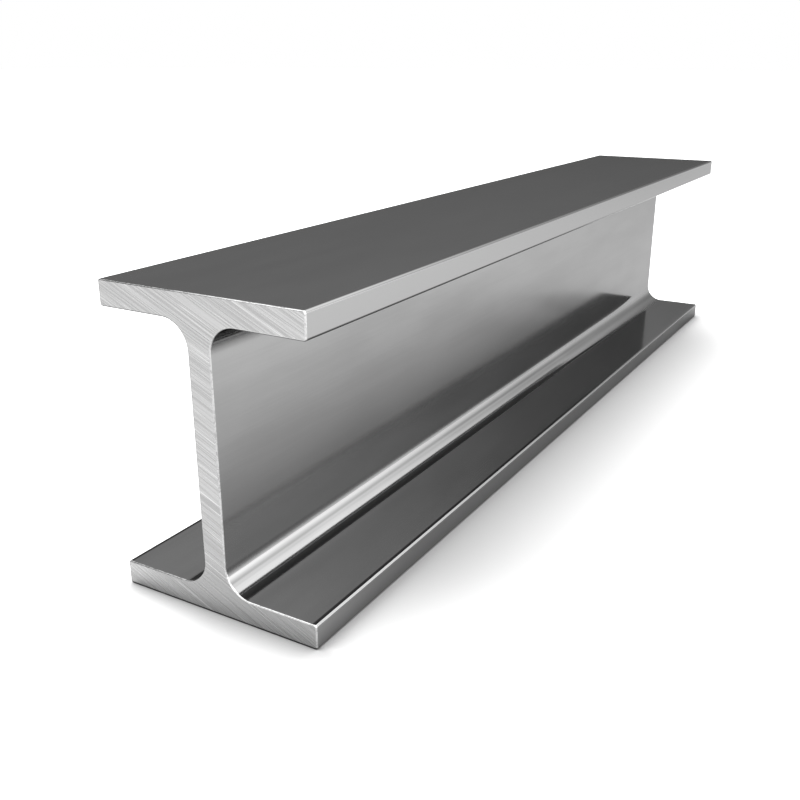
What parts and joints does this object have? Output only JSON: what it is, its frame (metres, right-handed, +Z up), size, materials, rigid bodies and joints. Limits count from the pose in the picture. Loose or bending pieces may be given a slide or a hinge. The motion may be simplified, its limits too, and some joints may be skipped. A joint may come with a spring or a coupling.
{
  "type": "steel h-beam",
  "caption": "Short length of rolled steel H-beam, with parallel flanges, a central web, root fillets and square sawn ends.",
  "frame": {"origin": "middle of the lower flange's underside, halfway along the beam", "axes": "+X along the beam's length, +Y across the flanges, +Z up from the lower flange to the upper one"},
  "size_m": [0.862, 0.147, 0.2],
  "materials": {
    "rolled_steel": "clean bare steel, smooth and satin on the rolled faces, with fine saw marks on the cut ends"
  },
  "bodies": {
    "root": {"h_beam": "rolled_steel"}
  },
  "joints": []
}
